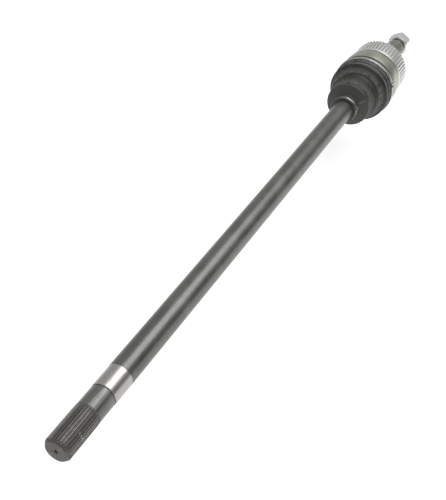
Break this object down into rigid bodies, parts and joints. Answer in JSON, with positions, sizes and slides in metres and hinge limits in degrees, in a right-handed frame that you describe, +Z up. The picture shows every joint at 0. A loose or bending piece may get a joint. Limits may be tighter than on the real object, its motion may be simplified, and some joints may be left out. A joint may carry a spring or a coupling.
{
  "type": "cv axle",
  "caption": "Long solid front axle shaft with an inboard spline, an outboard ball-type constant-velocity joint under a ribbed rubber boot, a toothed speed ring, a splined stub and a hub nut.",
  "frame": {"origin": "centre of the inboard end face, on the axle's centre line, where the shaft sits in the differential side gear", "axes": "+X along the axle from the differential spline to the hub nut, +Z up, +Y across, with the joint straight at rest"},
  "size_m": [0.998, 0.0981, 0.097],
  "materials": {
    "shaft_steel": "dark oiled forged steel, satin, with a bright ground journal",
    "inner_steel": "ground hardened steel",
    "cage_steel": "phosphated steel",
    "bell_steel": "olive grey oiled steel",
    "tone_steel": "light silver grey plated steel",
    "nut_steel": "light zinc plated steel",
    "clamp_steel": "bright band steel",
    "boot_rubber": "black moulded rubber, satin"
  },
  "bodies": {
    "shaft": {"axle_shaft": "shaft_steel", "inner_race": "inner_steel", "shaft_stop_ring": "clamp_steel", "shaft_circlip": "clamp_steel", "boot_small_end": "boot_rubber", "small_boot_clamp": "clamp_steel"},
    "inner_fold": {"boot_second_fold": "boot_rubber"},
    "cage": {"ball_cage": "cage_steel", "ball_1": "inner_steel", "ball_2": "inner_steel", "ball_3": "inner_steel", "ball_4": "inner_steel", "ball_5": "inner_steel", "ball_6": "inner_steel"},
    "outer_fold": {"boot_third_fold": "boot_rubber"},
    "bell": {"bell_housing": "bell_steel", "tone_ring": "tone_steel", "hub_nut": "nut_steel", "large_boot_clamp": "clamp_steel", "boot_large_end": "boot_rubber"}
  },
  "joints": [
    {"name": "bend_up_down", "type": "hinge", "parent": "shaft", "child": "inner_fold", "pos_m": [0.822, 0, 0], "axis": [0, 1, 0], "range_deg": [-15, 15], "deforming": ["boot_second_fold"]},
    {"name": "bend_sideways", "type": "hinge", "parent": "inner_fold", "child": "cage", "pos_m": [0.822, 0, 0], "axis": [0, 0, 1], "range_deg": [-15, 15]},
    {"name": "bell_sideways", "type": "hinge", "parent": "cage", "child": "outer_fold", "pos_m": [0.822, 0, 0], "axis": [0, 0, 1], "range_deg": [-15, 15], "deforming": ["boot_third_fold"]},
    {"name": "bell_up_down", "type": "hinge", "parent": "outer_fold", "child": "bell", "pos_m": [0.822, 0, 0], "axis": [0, 1, 0], "range_deg": [-15, 15]}
  ],
  "couplings": [
    {"joint": "bell_sideways", "follows": "bend_sideways", "ratio": 1},
    {"joint": "bell_up_down", "follows": "bend_up_down", "ratio": 1}
  ]
}
